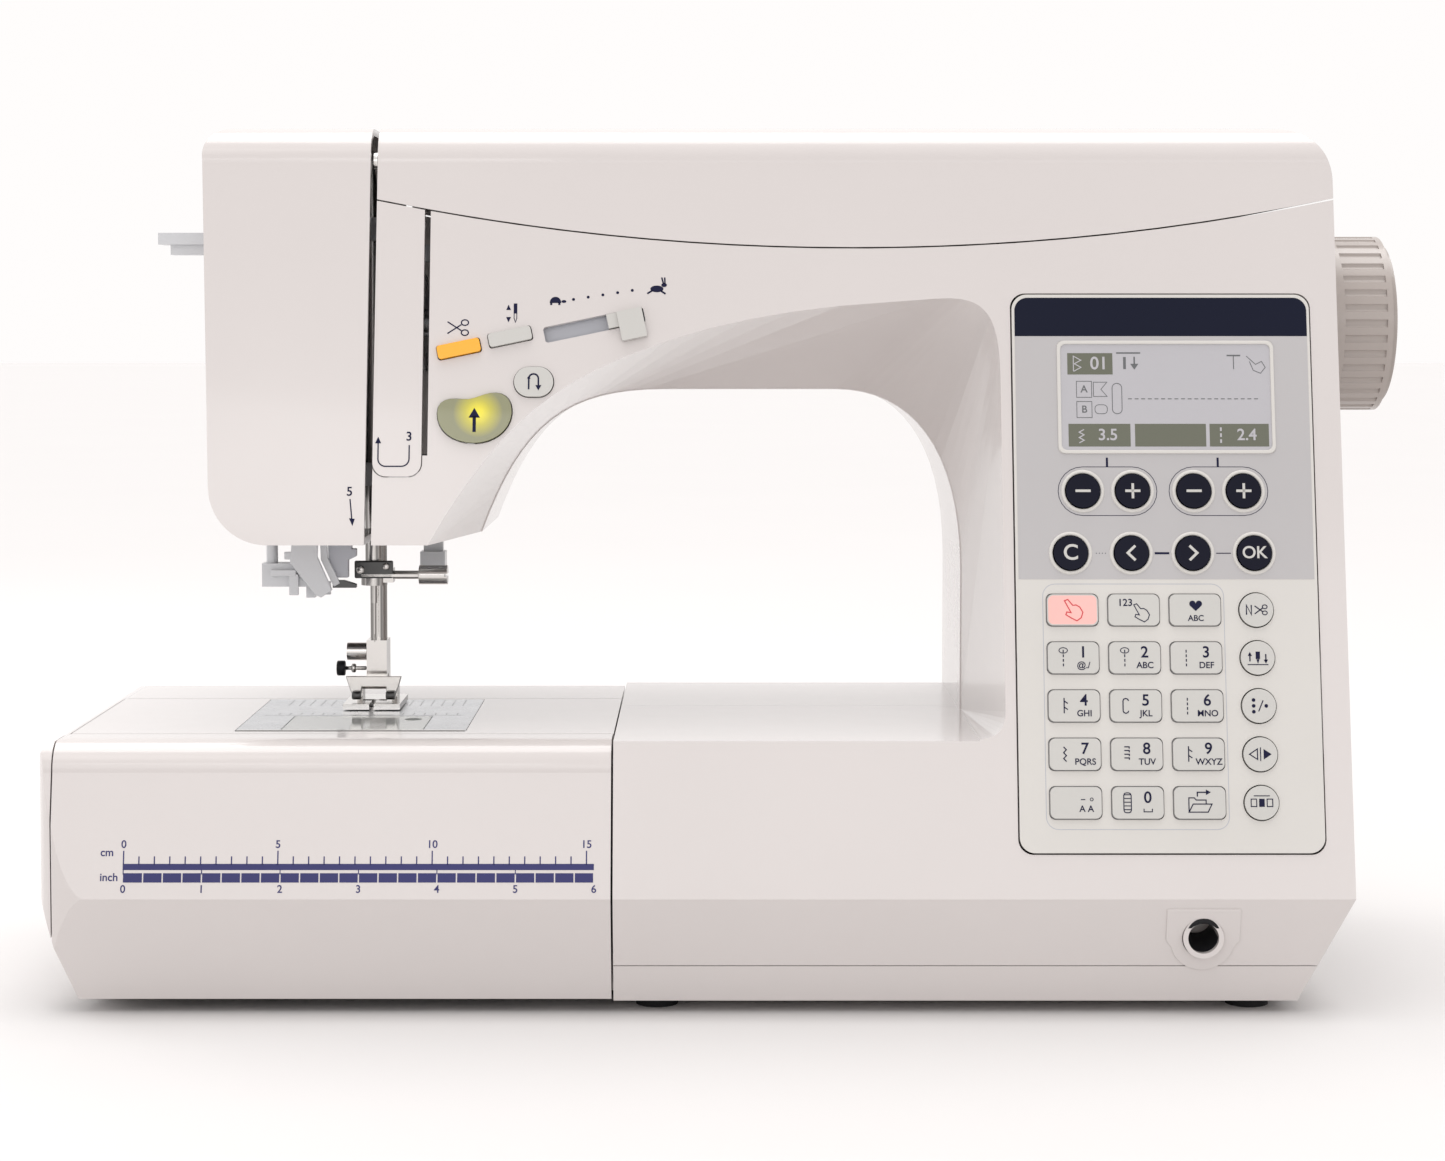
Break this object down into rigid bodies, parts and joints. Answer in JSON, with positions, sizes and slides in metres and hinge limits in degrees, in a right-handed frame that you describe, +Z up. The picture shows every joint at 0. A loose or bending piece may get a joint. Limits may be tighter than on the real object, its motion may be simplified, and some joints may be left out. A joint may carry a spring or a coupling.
{
  "type": "sewing machine",
  "caption": "Computerised free-arm sewing machine with lifting lid, handwheel, keypad panel, presser foot and a sliding flat-bed table.",
  "frame": {"origin": "middle of the footprint, on the surface the feet stand on", "axes": "+X to the right seen from the front, -Y towards the user, +Z up"},
  "size_m": [0.456, 0.186, 0.291],
  "materials": {
    "white_plastic": "gloss",
    "cream_plastic": "satin",
    "grey_plastic": "satin",
    "navy_plastic": "satin",
    "orange_plastic": "gloss",
    "olive_plastic": "translucent",
    "clear_plastic": "clear",
    "black_plastic": "satin",
    "black_rubber": "matte",
    "steel": "brushed",
    "chrome": "polished",
    "cast_alloy": "cast",
    "board_green": "satin",
    "screen": "gloss",
    "panel": "satin"
  },
  "bodies": {
    "machine": {"base_tray": "white_plastic", "rubber_feet": "black_rubber", "front_cover": "white_plastic", "rear_cover": "white_plastic", "face_cover": "white_plastic", "thread_guide_plate": "white_plastic", "top_tray": "cream_plastic", "main_frame": "cast_alloy", "free_arm_cover": "white_plastic", "needle_plate": "steel", "control_panel": "panel", "lcd_display": "screen", "circuit_board": "board_green", "thread_cutter": "cream_plastic", "drive_motor": "steel", "drive_belt": "black_rubber", "bobbin_case": "black_plastic", "spool_pin": "cream_plastic", "power_inlet": "black_plastic"},
    "main_shaft": {"upper_shaft": "steel", "handwheel": "cream_plastic"},
    "under_shaft": {"lower_shaft": "steel"},
    "hook": {"rotary_hook": "steel"},
    "rotor": {"motor_rotor": "black_plastic"},
    "swing_frame": {"needle_bar_frame": "cast_alloy"},
    "needle_unit": {"needle_bar": "chrome", "needle_clamp_screw": "chrome", "needle": "chrome"},
    "presser_unit": {"presser_bar": "chrome", "foot_holder_screw": "chrome"},
    "foot": {"presser_foot": "chrome"},
    "lifter": {"presser_lifter": "grey_plastic"},
    "take_up": {"take_up_lever": "chrome"},
    "threader": {"threader_lever": "grey_plastic", "threader_head": "grey_plastic"},
    "feed": {"feed_dog": "steel"},
    "bobbin_body": {"bobbin": "clear_plastic"},
    "bobbin_lid": {"bobbin_cover": "clear_plastic"},
    "table": {"extension_table": "white_plastic"},
    "table_lid": {"accessory_lid": "white_plastic"},
    "lid": {"top_lid": "white_plastic"},
    "handle": {"carry_handle": "cream_plastic"},
    "tension": {"tension_dial": "cream_plastic"},
    "winder": {"bobbin_winder": "cream_plastic"},
    "speed": {"speed_slider": "cream_plastic"},
    "switch": {"power_switch": "black_plastic"},
    "adjust_key_1_body": {"adjust_key_1": "navy_plastic"},
    "adjust_key_2_body": {"adjust_key_2": "navy_plastic"},
    "adjust_key_3_body": {"adjust_key_3": "navy_plastic"},
    "adjust_key_4_body": {"adjust_key_4": "navy_plastic"},
    "menu_key_1_body": {"menu_key_1": "navy_plastic"},
    "menu_key_2_body": {"menu_key_2": "navy_plastic"},
    "menu_key_3_body": {"menu_key_3": "navy_plastic"},
    "menu_key_4_body": {"menu_key_4": "navy_plastic"},
    "number_keys_body": {"number_keys": "cream_plastic"},
    "function_keys_body": {"function_keys": "cream_plastic"},
    "start_stop_button_body": {"start_stop_button": "olive_plastic"},
    "reverse_button_body": {"reverse_button": "cream_plastic"},
    "needle_position_button_body": {"needle_position_button": "cream_plastic"},
    "thread_trim_button_body": {"thread_trim_button": "orange_plastic"}
  },
  "joints": [
    {"name": "handwheel_spin", "type": "hinge", "parent": "machine", "child": "main_shaft", "pos_m": [0.2, 0, 0.225], "axis": [1, 0, 0], "continuous": true},
    {"name": "lower_shaft_spin", "type": "hinge", "parent": "machine", "child": "under_shaft", "pos_m": [0, 0, 0.056], "axis": [1, 0, 0], "continuous": true},
    {"name": "hook_spin", "type": "hinge", "parent": "machine", "child": "hook", "pos_m": [-0.127, -0.02, 0.06], "axis": [0, 0, 1], "continuous": true},
    {"name": "motor_spin", "type": "hinge", "parent": "machine", "child": "rotor", "pos_m": [0.18, 0.062, 0.12], "axis": [1, 0, 0], "continuous": true},
    {"name": "needle_swing", "type": "hinge", "parent": "machine", "child": "swing_frame", "pos_m": [-0.1355, 0, 0.265], "axis": [0, 1, 0], "range_deg": [-1, 1]},
    {"name": "needle_stroke", "type": "slide", "parent": "swing_frame", "child": "needle_unit", "axis": [0, 0, 1], "range_m": [-0.032, 0]},
    {"name": "take_up_swing", "type": "hinge", "parent": "machine", "child": "take_up", "pos_m": [-0.121, 0.008, 0.238], "axis": [1, 0, 0], "range_deg": [0, 30]},
    {"name": "presser_lift", "type": "hinge", "parent": "machine", "child": "lifter", "pos_m": [-0.109, 0.032, 0.17], "axis": [0, -1, 0], "range_deg": [0, 35.2]},
    {"name": "presser_rise", "type": "slide", "parent": "machine", "child": "presser_unit", "axis": [0, 0, 1], "range_m": [0, 0.0069]},
    {"name": "foot_rock", "type": "hinge", "parent": "presser_unit", "child": "foot", "pos_m": [-0.127, 0.01, 0.0952], "axis": [1, 0, 0], "range_deg": [-1, 1]},
    {"name": "threader_pull", "type": "slide", "parent": "machine", "child": "threader", "axis": [0, 0, -1], "range_m": [0, 0.03], "stiffness_N_per_m": 30, "springref_m": -0.02},
    {"name": "feed_travel", "type": "slide", "parent": "machine", "child": "feed", "axis": [0, 1, 0], "range_m": [-0.0015, 0.0015]},
    {"name": "bobbin_spin", "type": "hinge", "parent": "machine", "child": "bobbin_body", "pos_m": [-0.127, -0.02, 0.077], "axis": [0, 0, 1], "continuous": true},
    {"name": "bobbin_cover_lift", "type": "slide", "parent": "machine", "child": "bobbin_lid", "axis": [0, 0, 1], "range_m": [0, 0.03]},
    {"name": "table_pull", "type": "slide", "parent": "machine", "child": "table", "axis": [-1, 0, 0], "range_m": [0, 0.195]},
    {"name": "accessory_lid_open", "type": "hinge", "parent": "table", "child": "table_lid", "pos_m": [-0.13, -0.079, 0.0105], "axis": [1, 0, 0], "range_deg": [0, 60]},
    {"name": "top_lid_open", "type": "hinge", "parent": "machine", "child": "lid", "pos_m": [0.04, 0.067, 0.262], "axis": [-1, 0, 0], "range_deg": [0, 75]},
    {"name": "handle_fold", "type": "hinge", "parent": "machine", "child": "handle", "pos_m": [0, 0.073, 0.256], "axis": [-1, 0, 0], "range_deg": [-170, 0]},
    {"name": "tension_turn", "type": "hinge", "parent": "machine", "child": "tension", "pos_m": [0.096, 0, 0.26], "axis": [1, 0, 0], "range_deg": [-150, 150]},
    {"name": "winder_spin", "type": "hinge", "parent": "machine", "child": "winder", "pos_m": [0.15, 0.01, 0.27], "axis": [0, 0, 1], "continuous": true},
    {"name": "speed_slide", "type": "slide", "parent": "machine", "child": "speed", "axis": [0.9781, 0.0408, 0.2039], "range_m": [-0.02, 0]},
    {"name": "power_rock", "type": "hinge", "parent": "machine", "child": "switch", "pos_m": [0.1935, 0.033, 0.094], "axis": [0, 1, 0], "range_deg": [-8, 8]},
    {"name": "adjust_key_1_press", "type": "slide", "parent": "machine", "child": "adjust_key_1_body", "axis": [0, 0.9806, -0.1961], "range_m": [0, 0.001], "stiffness_N_per_m": 500, "springref_m": -0.0006},
    {"name": "adjust_key_2_press", "type": "slide", "parent": "machine", "child": "adjust_key_2_body", "axis": [0, 0.9806, -0.1961], "range_m": [0, 0.001], "stiffness_N_per_m": 500, "springref_m": -0.0006},
    {"name": "adjust_key_3_press", "type": "slide", "parent": "machine", "child": "adjust_key_3_body", "axis": [0, 0.9806, -0.1961], "range_m": [0, 0.001], "stiffness_N_per_m": 500, "springref_m": -0.0006},
    {"name": "adjust_key_4_press", "type": "slide", "parent": "machine", "child": "adjust_key_4_body", "axis": [0, 0.9806, -0.1961], "range_m": [0, 0.001], "stiffness_N_per_m": 500, "springref_m": -0.0006},
    {"name": "menu_key_1_press", "type": "slide", "parent": "machine", "child": "menu_key_1_body", "axis": [0, 0.9806, -0.1961], "range_m": [0, 0.001], "stiffness_N_per_m": 500, "springref_m": -0.0006},
    {"name": "menu_key_2_press", "type": "slide", "parent": "machine", "child": "menu_key_2_body", "axis": [0, 0.9806, -0.1961], "range_m": [0, 0.001], "stiffness_N_per_m": 500, "springref_m": -0.0006},
    {"name": "menu_key_3_press", "type": "slide", "parent": "machine", "child": "menu_key_3_body", "axis": [0, 0.9806, -0.1961], "range_m": [0, 0.001], "stiffness_N_per_m": 500, "springref_m": -0.0006},
    {"name": "menu_key_4_press", "type": "slide", "parent": "machine", "child": "menu_key_4_body", "axis": [0, 0.9806, -0.1961], "range_m": [0, 0.001], "stiffness_N_per_m": 500, "springref_m": -0.0006},
    {"name": "number_keys_press", "type": "slide", "parent": "machine", "child": "number_keys_body", "axis": [0, 0.9806, -0.1961], "range_m": [0, 0.001], "stiffness_N_per_m": 500, "springref_m": -0.0006},
    {"name": "function_keys_press", "type": "slide", "parent": "machine", "child": "function_keys_body", "axis": [0, 0.9806, -0.1961], "range_m": [0, 0.001], "stiffness_N_per_m": 500, "springref_m": -0.0006},
    {"name": "start_stop_button_press", "type": "slide", "parent": "machine", "child": "start_stop_button_body", "axis": [0, 0.9806, -0.1961], "range_m": [0, 0.001], "stiffness_N_per_m": 500, "springref_m": -0.0006},
    {"name": "reverse_button_press", "type": "slide", "parent": "machine", "child": "reverse_button_body", "axis": [0, 0.9806, -0.1961], "range_m": [0, 0.001], "stiffness_N_per_m": 500, "springref_m": -0.0006},
    {"name": "needle_position_button_press", "type": "slide", "parent": "machine", "child": "needle_position_button_body", "axis": [0, 0.9806, -0.1961], "range_m": [0, 0.001], "stiffness_N_per_m": 500, "springref_m": -0.0006},
    {"name": "thread_trim_button_press", "type": "slide", "parent": "machine", "child": "thread_trim_button_body", "axis": [0, 0.9806, -0.1961], "range_m": [0, 0.001], "stiffness_N_per_m": 500, "springref_m": -0.0006}
  ],
  "couplings": [
    {"joint": "lower_shaft_spin", "follows": "handwheel_spin", "ratio": 1},
    {"joint": "hook_spin", "follows": "handwheel_spin", "ratio": 2},
    {"joint": "motor_spin", "follows": "handwheel_spin", "ratio": 3},
    {"joint": "take_up_swing", "follows": "needle_stroke", "rad_per_m": -16},
    {"joint": "presser_lift", "follows": "presser_rise", "rad_per_m": 88.5}
  ]
}
